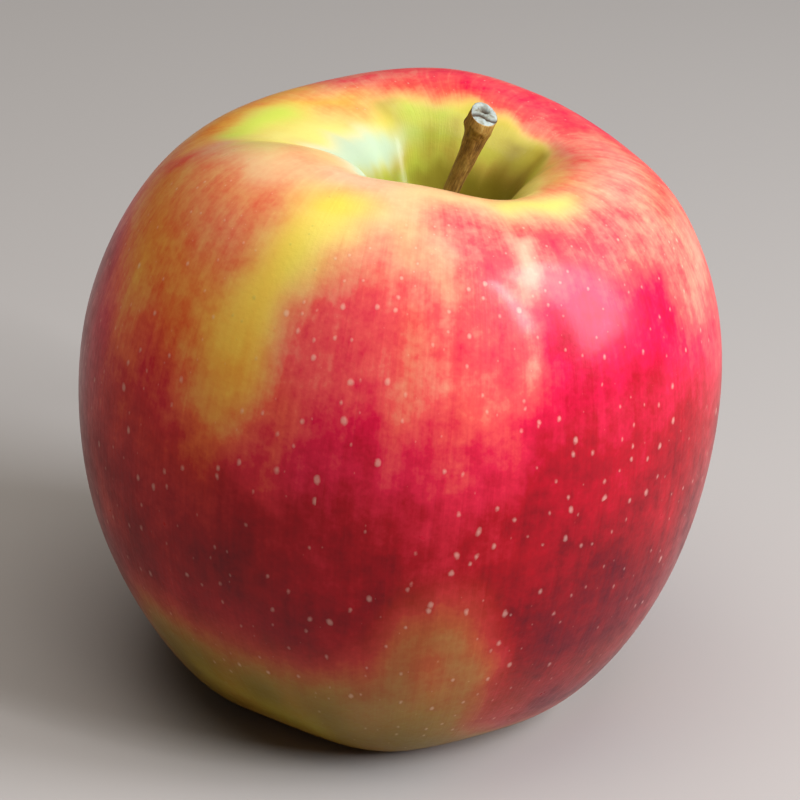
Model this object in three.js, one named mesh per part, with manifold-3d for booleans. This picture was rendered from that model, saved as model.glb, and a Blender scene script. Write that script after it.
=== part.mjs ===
// A red apple as picked: the lobed fruit, the woody stem in the cavity on top,
// and the dried calyx in the basin underneath.
// Millimetres, +Z up. The apple stands upright on the five lobes round its basin,
// and the middle of its box is over the origin.
// Azimuths are in degrees from +X towards +Y. The side at -90 is the front.

import * as THREE from "three";
import { NURBSCurve } from "three/addons/curves/NURBSCurve.js";
import { ParametricGeometry } from "three/addons/geometries/ParametricGeometry.js";
import { mergeVertices } from "three/addons/utils/BufferGeometryUtils.js";
import Module from "manifold-3d";

// Fruit: sizes of its mean outline, before the lobes
const FRUIT_HEIGHT = 72.8;
const CAVITY_DEPTH = 17.5;
const CREST_RADIUS = 21;
const SHOULDER_RADIUS = 35;
const SHOULDER_DROP = 9.1;
const BELLY_RADIUS = 40;
const BELLY_HEIGHT = 42.2;
const FLANK_RADIUS = 36.5;
const FLANK_HEIGHT = 18.4;
const HEEL_RADIUS = 27.3;
const HEEL_HEIGHT = 4.1;
const FOOT_RADIUS = 20.2;
const BASIN_DEPTH = 9;

// Fruit: how far its stem cavity, its crown and its foot sit to the right of the belly
const HOLE_SHIFT = new THREE.Vector2(2.2, -0.3);
const CROWN_SHIFT = 0.96;
const FOOT_SHIFT = 0.9;

// Fruit: waves round the axis, each with its count, its size and the azimuth of a crest
const CROWN_WAVES = [
  { count: 1, size: 1.01, azimuth: -113.7 },
  { count: 2, size: 1.28, azimuth: 69.5 },
  { count: 3, size: 0.75, azimuth: -22.8 },
];
const BELLY_OVAL = { count: 2, size: 0.013, azimuth: 47.2 };

// Fruit: the five lobes, which are crowded on one side as they are on most apples
const LOBES = 5;
const FRONT_LOBE = -90;
const CROWDING = 110;
const CROWDED_SIDE = 120;
const CROWN_LOBE_SIZE = 0.3;
const FOOT_LOBE_SIZE = 0.55;
const BELLY_LOBE_SHARE = 0.004;
const FOLD_SHARE = 0.22;
const FOLD_SOFTNESS = 0.02;
const FOLD_MEAN = 0.66;

// Fruit: where it meets what it stands on. The lobes are flattened there,
// a little above their lowest points.
const REST_HEIGHT = -0.2;

// Stem, from its root in the cavity's floor to its cut end
const STEM_POINTS = [
  [2.4, 0, 55],
  [3.3, 0.2, 60.9],
  [5.2, 0.6, 67.2],
  [6.7, 1, 71.3],
  [8.3, 1.6, 76.7],
];
const STEM_ROOT_RADIUS = 1.25;
const STEM_WAIST_RADIUS = 0.95;
const STEM_HEAD_RADIUS = 1.8;
const STEM_PITH_DEPTH = 0.8;
const STEM_CUT_SLOPE = 0.5;
const STEM_CUT_TOWARDS = -80;

// Calyx, with its cup let into the basin's floor and its sepals hanging clear of the ground
const CUP_RADIUS = 2.7;
const CUP_TOP = 10.3;
const CUP_RIM = 7.7;
const SEPALS = 5;
const SEPAL_WIDTH = 2.9;
const SEPAL_THICKNESS = 0.8;
const SEPAL_SPREAD = 5.2;
const SEPAL_TIP_HEIGHT = 2.9;
const STAMENS = 8;
const STAMEN_RADIUS = 0.35;
const STAMEN_TIP = 5.6;

// Room left round a piece that stands in a socket
const CLEARANCE = 0.3;
const SOCKET_HEIGHT = 3;

// Faces round and along each form
const FRUIT_FACES = { around: 80, along: 48 };
const STEM_FACES = { around: 16 };
const SEPAL_FACES = { around: 10, along: 10 };
const STAMEN_FACES = 6;
const SOCKET_FACES = 24;

const wasm = await Module();
wasm.setup();

const radians = THREE.MathUtils.degToRad;
const smooth = (x) => THREE.MathUtils.smoothstep(x, 0, 1);

// Solids

function solidOf(geometry) {
  const bare = geometry.clone();
  bare.deleteAttribute("normal");
  bare.deleteAttribute("uv");
  const merged = mergeVertices(bare, 1e-3);
  const corners = merged.index.array;
  const kept = [];
  for (let i = 0; i < corners.length; i += 3) {
    const [a, b, c] = corners.slice(i, i + 3);
    if (a !== b && b !== c && c !== a) kept.push(a, b, c);
  }
  return new wasm.Manifold(
    new wasm.Mesh({
      numProp: 3,
      vertProperties: new Float32Array(merged.attributes.position.array),
      triVerts: new Uint32Array(kept),
    }),
  );
}

function geometryOf(solid) {
  const { vertProperties, triVerts } = solid.getMesh();
  const geometry = new THREE.BufferGeometry();
  geometry.setAttribute("position", new THREE.BufferAttribute(vertProperties, 3));
  geometry.setIndex(new THREE.BufferAttribute(triVerts, 1));
  geometry.computeVertexNormals();
  return geometry;
}

function meshOf(name, solid, color, roughness) {
  const material = new THREE.MeshStandardMaterial({ color, roughness, metalness: 0 });
  const mesh = new THREE.Mesh(geometryOf(solid), material);
  mesh.name = name;
  return mesh;
}

// The fruit's mean outline, from the floor of the stem cavity round the outside to the floor of the basin

function outlinePoints() {
  const floor = FRUIT_HEIGHT - CAVITY_DEPTH;
  const cavity = [
    [0, floor],
    [3.2, floor + 0.6],
    [6.6, floor + 5.2],
    [9.6, FRUIT_HEIGHT - 6],
    [13.2, FRUIT_HEIGHT - 1.4],
  ];
  const crown = [
    [CREST_RADIUS, FRUIT_HEIGHT + 0.75],
    [CREST_RADIUS + 8.3, FRUIT_HEIGHT - 1.8],
    [SHOULDER_RADIUS, FRUIT_HEIGHT - SHOULDER_DROP],
  ];
  const side = [
    [BELLY_RADIUS, BELLY_HEIGHT + 8],
    [BELLY_RADIUS, BELLY_HEIGHT - 8],
    [FLANK_RADIUS, FLANK_HEIGHT],
    [HEEL_RADIUS, HEEL_HEIGHT],
  ];
  const foot = [
    [FOOT_RADIUS, -0.9],
    [11.5, 0.4],
    [7, BASIN_DEPTH - 4.6],
    [3.5, BASIN_DEPTH - 0.6],
    [0, BASIN_DEPTH],
  ];
  return [...cavity, ...crown, ...side, ...foot];
}

// A smooth curve that the points pull towards themselves. The points next to the axis
// are mirrored across it, so that the curve starts and ends level on the axis.

function outlineCurve(points) {
  const mirrored = ([radius, height]) => [-radius, height];
  const all = [mirrored(points[1]), ...points, mirrored(points[points.length - 2])];
  const knots = Array.from({ length: all.length + 4 }, (_, i) => i);
  const poles = all.map(([radius, height]) => new THREE.Vector4(radius, height, 0, 1));
  return new NURBSCurve(3, knots, poles, 3, knots.length - 4);
}

const OUTLINE = outlinePoints();
const CURVE = outlineCurve(OUTLINE);
const CREST_AT = 5 / (OUTLINE.length - 1);
const FOOT_AT = 12 / (OUTLINE.length - 1);
const CREST_RING = CURVE.getPoint(CREST_AT).x;
const FOOT_RING = CURVE.getPoint(FOOT_AT).x;

// Waves, lobes and folds round the axis

function wave({ count, size, azimuth }, angle) {
  return size * Math.cos(count * (angle - radians(azimuth)));
}

function waves(list, angle) {
  return list.reduce((sum, each) => sum + wave(each, angle), 0);
}

function lobePhase(angle) {
  const crowding = (1 + Math.cos(angle - radians(CROWDED_SIDE))) / 2;
  return LOBES * (angle - radians(FRONT_LOBE)) - radians(CROWDING) * crowding;
}

function lobe(angle) {
  return Math.cos(lobePhase(angle));
}

// The same lobes with rounder backs and sharper valleys, as they are inside the cavity and the basin

function fold(angle) {
  return Math.hypot(Math.cos(lobePhase(angle) / 2), Math.sqrt(FOLD_SOFTNESS)) - FOLD_MEAN;
}

function fruitPoint(angle, along, target) {
  const mean = CURVE.getPoint(along);
  const radius = Math.max(mean.x, 0);
  const level = mean.y / FRUIT_HEIGHT;
  const inCavity = along <= CREST_AT;
  const inBasin = along >= FOOT_AT;
  const outside = !inCavity && !inBasin;

  const crown = inCavity ? smooth(radius / CREST_RING) : smooth((level - 0.35) / 0.6);
  const foot = inBasin ? smooth(radius / FOOT_RING) : smooth((0.42 - level) / 0.4);
  const belly = outside ? Math.sin(Math.PI * THREE.MathUtils.clamp(level, 0, 1)) : 0;
  const ring = inCavity ? CREST_RING : FOOT_RING;
  const wall = outside ? 0 : smooth(radius / 6) * smooth((ring - radius) / 10);

  const crownRise = waves(CROWN_WAVES, angle) + CROWN_LOBE_SIZE * lobe(angle);
  const footDrop = FOOT_LOBE_SIZE * lobe(angle);
  const bellyShare = wave(BELLY_OVAL, angle) + BELLY_LOBE_SHARE * lobe(angle);

  const around = radius * (1 + bellyShare * belly - FOLD_SHARE * fold(angle) * wall);
  const height = mean.y + crownRise * crown * (inBasin ? 0 : 1) - footDrop * foot * (inCavity ? 0 : 1);
  const crownShift = inCavity ? 1 : smooth((level - 0.3) / 0.65) * (inBasin ? 0 : 1);
  const footShift = inBasin ? 1 : smooth((0.7 - level) / 0.65) * (inCavity ? 0 : 1);
  const hole = inCavity ? smooth((CREST_RING - radius) / 9) : 0;
  return target.set(
    around * Math.cos(angle) + CROWN_SHIFT * crownShift + FOOT_SHIFT * footShift + HOLE_SHIFT.x * hole,
    around * Math.sin(angle) + HOLE_SHIFT.y * hole,
    Math.max(height, REST_HEIGHT) - REST_HEIGHT,
  );
}

// A plain round hole that a stem or a cup stands in

function socket(radius, x, y, low, high) {
  const geometry = new THREE.CylinderGeometry(radius, radius, high - low, SOCKET_FACES);
  geometry.rotateX(Math.PI / 2);
  geometry.translate(x, y, (low + high) / 2);
  return solidOf(geometry);
}

function makeFruit() {
  const skin = (u, v, target) => fruitPoint(2 * Math.PI * u, 1 - v, target);
  const body = solidOf(new ParametricGeometry(skin, FRUIT_FACES.around, FRUIT_FACES.along));
  const [x, y, root] = STEM_POINTS[0];
  const stemRoom = 2 * CLEARANCE;
  const stemHole = socket(STEM_ROOT_RADIUS + stemRoom, x, y, root - stemRoom, root + SOCKET_HEIGHT);
  const cupHole = socket(CUP_RADIUS + CLEARANCE, FOOT_SHIFT, 0, CUP_RIM, CUP_TOP + CLEARANCE);
  return body.subtract(stemHole).subtract(cupHole);
}

// A closed skin swept along a curve. At each step, section gives the two half widths
// and how far along the curve they lie.

function sweep(curve, section, faces, bend = () => 0) {
  const side = new THREE.Vector3();
  const front = new THREE.Vector3();
  const offset = new THREE.Vector3();
  const skin = (u, v, target) => {
    const { at, wide, deep } = section(v);
    const tangent = curve.getTangentAt(at);
    side.set(1, 0, 0).addScaledVector(tangent, -tangent.x).normalize();
    front.crossVectors(tangent, side);
    const angle = 2 * Math.PI * u;
    offset.copy(side).multiplyScalar(wide * Math.cos(angle));
    offset.addScaledVector(front, deep * Math.sin(angle));
    target.copy(curve.getPointAt(at)).add(offset).addScaledVector(tangent, bend(offset, at));
  };
  return solidOf(new ParametricGeometry(skin, faces.around, faces.along));
}

// Stem: thicker at its root, slender in the middle, and flared at its cut end,
// which has a hollow where the pith was

function makeStem() {
  const curve = new THREE.CatmullRomCurve3(STEM_POINTS.map((point) => new THREE.Vector3(...point)));
  const outline = [
    [0, 0],
    [0, STEM_ROOT_RADIUS - 0.15],
    [0.015, STEM_ROOT_RADIUS],
    [0.1, STEM_ROOT_RADIUS],
    [0.25, STEM_WAIST_RADIUS + 0.08],
    [0.42, STEM_WAIST_RADIUS],
    [0.6, STEM_WAIST_RADIUS + 0.05],
    [0.75, STEM_WAIST_RADIUS + 0.22],
    [0.85, STEM_HEAD_RADIUS - 0.38],
    [0.91, STEM_HEAD_RADIUS - 0.08],
    [0.95, STEM_HEAD_RADIUS],
    [0.985, STEM_HEAD_RADIUS - 0.05],
    [1, STEM_HEAD_RADIUS - 0.3],
    [0.995, 0.75],
    [0.985, 0.45],
    [1 - STEM_PITH_DEPTH / curve.getLength(), 0],
  ];
  const steps = outline.length - 1;
  const section = (v) => {
    const [at, radius] = outline[Math.round(v * steps)];
    return { at, wide: radius, deep: radius };
  };
  const downhill = radians(STEM_CUT_TOWARDS);
  const towards = new THREE.Vector3(Math.cos(downhill), Math.sin(downhill), 0);
  const slant = (offset, at) => -STEM_CUT_SLOPE * offset.dot(towards) * smooth((at - 0.82) / 0.14);
  return sweep(curve, section, { around: STEM_FACES.around, along: steps }, slant);
}

// Calyx: a shallow cup, five dried sepals that close over it and curl out at their tips,
// and the ends of the stamens

function makeCup() {
  const outline = [
    [0, CUP_RIM + 1.2],
    [1.1, CUP_RIM + 0.9],
    [1.9, CUP_RIM],
    [CUP_RADIUS - 0.15, CUP_RIM],
    [CUP_RADIUS, CUP_RIM + 0.3],
    [CUP_RADIUS, CUP_TOP],
    [0, CUP_TOP],
  ];
  const points = outline.map((point) => new THREE.Vector2(...point));
  const geometry = new THREE.LatheGeometry(points, SOCKET_FACES);
  geometry.rotateX(Math.PI / 2);
  return solidOf(geometry);
}

function makeSepal(index) {
  const uneven = Math.sin(2.4 * index + 0.7);
  const spread = SEPAL_SPREAD + 0.5 * uneven;
  const tip = SEPAL_TIP_HEIGHT - 0.3 * uneven;
  const curve = new THREE.CatmullRomCurve3([
    new THREE.Vector3(0, 2.1, CUP_RIM + 1),
    new THREE.Vector3(0, 2.6, CUP_RIM - 1.1),
    new THREE.Vector3(0, 2.3, CUP_RIM - 2.7),
    new THREE.Vector3(0, 3.1, CUP_RIM - 4),
    new THREE.Vector3(0, spread, tip),
  ]);
  const section = (v) => {
    const width = SEPAL_WIDTH * Math.sin(Math.PI * Math.pow(v, 0.6)) * 0.5 + 0.12;
    const closed = v === 0 || v === 1;
    return { at: v, wide: closed ? 0 : width, deep: closed ? 0 : SEPAL_THICKNESS / 2 };
  };
  return sweep(curve, section, SEPAL_FACES).rotate([0, 0, (360 * index) / SEPALS + 12 * uneven]);
}

function makeStamen(index) {
  const angle = (2 * Math.PI * index) / STAMENS;
  const length = CUP_RIM + 1 - STAMEN_TIP - 0.6 * (index % 3);
  const geometry = new THREE.ConeGeometry(STAMEN_RADIUS, length, STAMEN_FACES);
  geometry.rotateX(-Math.PI / 2);
  geometry.translate(0.9 * Math.cos(angle), 0.9 * Math.sin(angle), CUP_RIM + 1 - length / 2);
  return solidOf(geometry);
}

function makeCalyx() {
  let calyx = makeCup();
  for (let i = 0; i < SEPALS; i += 1) calyx = calyx.add(makeSepal(i));
  for (let i = 0; i < STAMENS; i += 1) calyx = calyx.add(makeStamen(i));
  return calyx.translate([FOOT_SHIFT, 0, 0]);
}

const fruit = meshOf("fruit", makeFruit(), "#c4383b", 0.4);
const stem = meshOf("stem", makeStem(), "#5f431f", 0.85);
const calyx = meshOf("calyx", makeCalyx(), "#5d5138", 0.95);

const apple = new THREE.Group();
apple.name = "apple";
apple.add(fruit, stem, calyx);

// The middle of the box goes over the origin

const box = new THREE.Box3().setFromObject(apple);
const middle = box.getCenter(new THREE.Vector3());
apple.position.set(-middle.x, -middle.y, -box.min.z);

export default apple;
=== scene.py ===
"""A red apple in a plain pale studio.

Metres in the scene, millimetres in the formulas, +Z up, the front at azimuth -90.
"""

import math

import bpy
import numpy as np
from mathutils import Matrix, Vector


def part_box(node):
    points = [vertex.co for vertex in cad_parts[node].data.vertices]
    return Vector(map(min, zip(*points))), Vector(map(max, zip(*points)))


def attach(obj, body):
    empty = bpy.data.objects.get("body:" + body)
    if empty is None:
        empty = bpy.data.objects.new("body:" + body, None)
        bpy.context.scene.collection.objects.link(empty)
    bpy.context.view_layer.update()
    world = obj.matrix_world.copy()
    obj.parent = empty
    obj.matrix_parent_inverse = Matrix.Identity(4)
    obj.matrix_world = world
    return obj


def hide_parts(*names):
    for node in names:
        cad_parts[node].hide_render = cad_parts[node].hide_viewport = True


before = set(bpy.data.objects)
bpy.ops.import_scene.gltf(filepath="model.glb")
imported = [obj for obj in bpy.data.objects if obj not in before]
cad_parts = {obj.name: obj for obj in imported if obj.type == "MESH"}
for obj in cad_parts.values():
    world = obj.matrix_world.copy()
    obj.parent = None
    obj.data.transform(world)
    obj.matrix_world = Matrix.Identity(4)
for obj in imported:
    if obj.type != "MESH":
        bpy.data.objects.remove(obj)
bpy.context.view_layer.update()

MM = 0.001

# Fruit: the same outline, waves and lobes as the solid, in millimetres
FRUIT_HEIGHT = 72.8
CAVITY_DEPTH = 17.5
CREST_RADIUS = 21
SHOULDER_RADIUS = 35
SHOULDER_DROP = 9.1
BELLY_RADIUS = 40
BELLY_HEIGHT = 42.2
FLANK_RADIUS = 36.5
FLANK_HEIGHT = 18.4
HEEL_RADIUS = 27.3
HEEL_HEIGHT = 4.1
FOOT_RADIUS = 20.2
BASIN_DEPTH = 9
HOLE_SHIFT = (2.2, -0.3)
CROWN_SHIFT = 0.96
FOOT_SHIFT = 0.9
CROWN_WAVES = ((1, 1.01, -113.7), (2, 1.28, 69.5), (3, 0.75, -22.8))
BELLY_OVAL = (2, 0.013, 47.2)
LOBES = 5
FRONT_LOBE = -90
CROWDING = 110
CROWDED_SIDE = 120
CROWN_LOBE_SIZE = 0.3
FOOT_LOBE_SIZE = 0.55
BELLY_LOBE_SHARE = 0.004
FOLD_SHARE = 0.22
FOLD_SOFTNESS = 0.02
FOLD_MEAN = 0.66
REST_HEIGHT = -0.2

# Stem: the same path as the solid, with its outline as share of the length and radius
STEM_POINTS = ((2.4, 0, 55), (3.3, 0.2, 60.9), (5.2, 0.6, 67.2), (6.7, 1, 71.3), (8.3, 1.6, 76.7))
STEM_OUTLINE = (
    (0, 1.1), (0.015, 1.25), (0.1, 1.25), (0.25, 1.03), (0.42, 0.95), (0.6, 1.0),
    (0.75, 1.17), (0.85, 1.42), (0.91, 1.72), (0.95, 1.8), (0.985, 1.75),
)
STEM_CUT_SLOPE = 0.5
STEM_CUT_TOWARDS = -80
STEM_AROUND = 96

# Calyx: the same cup, sepals and stamens as the solid
CUP_RIM = 7.7
CUP_OUTLINE = ((0, 8.9), (1.1, 8.6), (1.9, 7.7), (2.55, 7.7), (2.7, 8.0), (2.7, 10.3), (0, 10.3))
CUP_AROUND = 96
SEPALS = 5
SEPAL_WIDTH = 2.9
SEPAL_THICKNESS = 0.8
SEPAL_SPREAD = 5.2
SEPAL_TIP_HEIGHT = 2.9
SEPAL_AROUND = 40
STAMENS = 8
STAMEN_RADIUS = 0.35
STAMEN_TIP = 5.6

# The photograph's view: how far the camera stands off, and how it looks down and leans
CAMERA_DISTANCE = 450
CAMERA_ELEVATION = 25.8
CAMERA_ROLL = 4.3
PICTURE = 800
PIXELS_PER_MM = 8
SENSOR_WIDTH = 36
APPLE_MIDDLE_HEIGHT = 36.4
APPLE_MIDDLE_PIXEL = (393.4, 411.0)

# Lights: place, size, power and colour, all aimed at the apple's middle
LIGHT_AIM = (0, 0, 0.04)
LIGHTS = {
    "window": ((0.53, -0.10, 0.37), (0.22, 0.48), 5.2, (0.84, 0.89, 1.0)),
    "strip": ((0.42, -0.30, 0.42), (0.035, 0.30), 2.0, (0.88, 0.92, 1.0)),
    "overhead": ((-0.04, -0.15, 0.83), (0.7, 0.6), 4.7, (1.0, 0.98, 0.95)),
}

# Fine skin: faces round and along, and how it is laid out flat
AROUND = 352
ALONG = 236
OUTLINE_LENGTH = 165
LENTICEL_RADIUS = 36
SEAM_AZIMUTH = 95


# Shape

def smooth(x):
    x = np.clip(x, 0, 1)
    return x * x * (3 - 2 * x)


def outline_points():
    floor = FRUIT_HEIGHT - CAVITY_DEPTH
    cavity = [
        (0, floor),
        (3.2, floor + 0.6),
        (6.6, floor + 5.2),
        (9.6, FRUIT_HEIGHT - 6),
        (13.2, FRUIT_HEIGHT - 1.4),
    ]
    crown = [
        (CREST_RADIUS, FRUIT_HEIGHT + 0.75),
        (CREST_RADIUS + 8.3, FRUIT_HEIGHT - 1.8),
        (SHOULDER_RADIUS, FRUIT_HEIGHT - SHOULDER_DROP),
    ]
    side = [
        (BELLY_RADIUS, BELLY_HEIGHT + 8),
        (BELLY_RADIUS, BELLY_HEIGHT - 8),
        (FLANK_RADIUS, FLANK_HEIGHT),
        (HEEL_RADIUS, HEEL_HEIGHT),
    ]
    foot = [
        (FOOT_RADIUS, -0.9),
        (11.5, 0.4),
        (7, BASIN_DEPTH - 4.6),
        (3.5, BASIN_DEPTH - 0.6),
        (0, BASIN_DEPTH),
    ]
    return np.array(cavity + crown + side + foot, float)


def outline(along):
    """Radius and height along the outline, by a uniform cubic spline mirrored over the axis."""
    points = outline_points()
    spans = len(points) - 1
    poles = np.vstack([points[1] * (-1, 1), points, points[-2] * (-1, 1)])
    place = np.clip(along, 0, 1) * spans
    span = np.minimum(place.astype(int), spans - 1)
    u = (place - span)[..., None]
    weights = (
        (1 - u) ** 3 / 6,
        (3 * u**3 - 6 * u**2 + 4) / 6,
        (-3 * u**3 + 3 * u**2 + 3 * u + 1) / 6,
        u**3 / 6,
    )
    both = sum(w * poles[span + i] for i, w in enumerate(weights))
    return np.maximum(both[..., 0], 0), both[..., 1]


CREST_AT = 5 / (len(outline_points()) - 1)
FOOT_AT = 12 / (len(outline_points()) - 1)


def wave(count, size, azimuth, angle):
    return size * np.cos(count * (angle - math.radians(azimuth)))


def lobe_phase(angle):
    crowding = (1 + np.cos(angle - math.radians(CROWDED_SIDE))) / 2
    return LOBES * (angle - math.radians(FRONT_LOBE)) - math.radians(CROWDING) * crowding


def lobe(angle):
    return np.cos(lobe_phase(angle))


def fold(angle):
    return np.hypot(np.cos(lobe_phase(angle) / 2), math.sqrt(FOLD_SOFTNESS)) - FOLD_MEAN


def fruit_surface(angle, along):
    """Points of the fruit's skin in millimetres, before its box is centred."""
    radius, mean = outline(along)
    crest_ring = outline(np.array(CREST_AT))[0]
    foot_ring = outline(np.array(FOOT_AT))[0]
    level = mean / FRUIT_HEIGHT
    in_cavity = along <= CREST_AT
    in_basin = along >= FOOT_AT
    outside = ~in_cavity & ~in_basin

    crown = np.where(in_cavity, smooth(radius / crest_ring), smooth((level - 0.35) / 0.6))
    foot = np.where(in_basin, smooth(radius / foot_ring), smooth((0.42 - level) / 0.4))
    belly = np.where(outside, np.sin(np.pi * np.clip(level, 0, 1)), 0)
    ring = np.where(in_cavity, crest_ring, foot_ring)
    wall = np.where(outside, 0, smooth(radius / 6) * smooth((ring - radius) / 10))

    crown_rise = sum(wave(*each, angle) for each in CROWN_WAVES) + CROWN_LOBE_SIZE * lobe(angle)
    foot_drop = FOOT_LOBE_SIZE * lobe(angle)
    belly_share = wave(*BELLY_OVAL, angle) + BELLY_LOBE_SHARE * lobe(angle)

    around = radius * (1 + belly_share * belly - FOLD_SHARE * fold(angle) * wall)
    height = mean + crown_rise * crown * ~in_basin - foot_drop * foot * ~in_cavity
    crown_shift = np.where(in_cavity, 1, smooth((level - 0.3) / 0.65) * ~in_basin)
    foot_shift = np.where(in_basin, 1, smooth((0.7 - level) / 0.65) * ~in_cavity)
    hole = np.where(in_cavity, smooth((crest_ring - radius) / 9), 0)
    x = around * np.cos(angle) + CROWN_SHIFT * crown_shift + FOOT_SHIFT * foot_shift + HOLE_SHIFT[0] * hole
    y = around * np.sin(angle) + HOLE_SHIFT[1] * hole
    z = np.maximum(height, REST_HEIGHT) - REST_HEIGHT
    return np.stack([x, y, z], -1)


def mesh_object(name, vertices, faces):
    mesh = bpy.data.meshes.new(name)
    mesh.from_pydata([tuple(v) for v in vertices], [], [tuple(int(i) for i in f) for f in faces])
    mesh.validate()
    mesh.polygons.foreach_set("use_smooth", [True] * len(mesh.polygons))
    mesh.update()
    obj = bpy.data.objects.new(name, mesh)
    bpy.context.scene.collection.objects.link(obj)
    return obj


def grid_faces(rows, columns):
    """Quads between rows of points that close round on themselves."""
    r, c = np.meshgrid(np.arange(rows - 1), np.arange(columns), indexing="ij")
    n = (c + 1) % columns
    quads = np.stack([r * columns + c, (r + 1) * columns + c, (r + 1) * columns + n, r * columns + n], -1)
    return quads.reshape(-1, 4)


def set_values(mesh, name, values, domain="POINT"):
    kind, slot = ("FLOAT", "value") if values.ndim == 1 else ("FLOAT_VECTOR", "vector")
    layer = mesh.attributes.new(name, kind, domain)
    layer.data.foreach_set(slot, np.ascontiguousarray(values, np.float32).ravel())


# Colour of the skin, painted as soft strokes over azimuth and share of the outline

def ripple(angle, along, around, down, seed):
    """Smooth random values from -1 to 1 that close up round the axis."""
    lattice = np.random.default_rng(seed).uniform(-1, 1, (around, down + 2))
    u = (angle / (2 * np.pi)) % 1 * around
    v = np.clip(along, 0, 1) * down
    i, j = u.astype(int) % around, v.astype(int)
    across, below = smooth(u - np.floor(u)), smooth(v - j)
    upper = lattice[i, j] * (1 - across) + lattice[(i + 1) % around, j] * across
    lower = lattice[i, j + 1] * (1 - across) + lattice[(i + 1) % around, j + 1] * across
    return upper * (1 - below) + lower * below


def distance_to(path, angle, along, radius):
    """Millimetres over the skin from each point to a path of (azimuth, along)."""
    best = np.full(np.shape(angle), 1e9)
    points = list(path) if len(path) > 1 else list(path) * 2
    for (start, low), (stop, high) in zip(points[:-1], points[1:]):
        across = ((angle - math.radians(start) + np.pi) % (2 * np.pi) - np.pi) * radius
        down = (along - low) * OUTLINE_LENGTH
        step_across = ((math.radians(stop - start) + np.pi) % (2 * np.pi) - np.pi) * radius
        step_down = (high - low) * OUTLINE_LENGTH
        square = step_across**2 + step_down**2 + 1e-9
        share = np.clip((across * step_across + down * step_down) / square, 0, 1)
        best = np.minimum(best, np.hypot(across - share * step_across, down - share * step_down))
    return best


def ring(along):
    return [(azimuth, along) for azimuth in range(-180, 181, 30)]


BASE_COLOUR = dict(blush=0.7, yellow=0.35, green=0.0, painted_sky_reflection=0.0, painted_shade=0.0, russet=0.0, dots=0.6)

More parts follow.
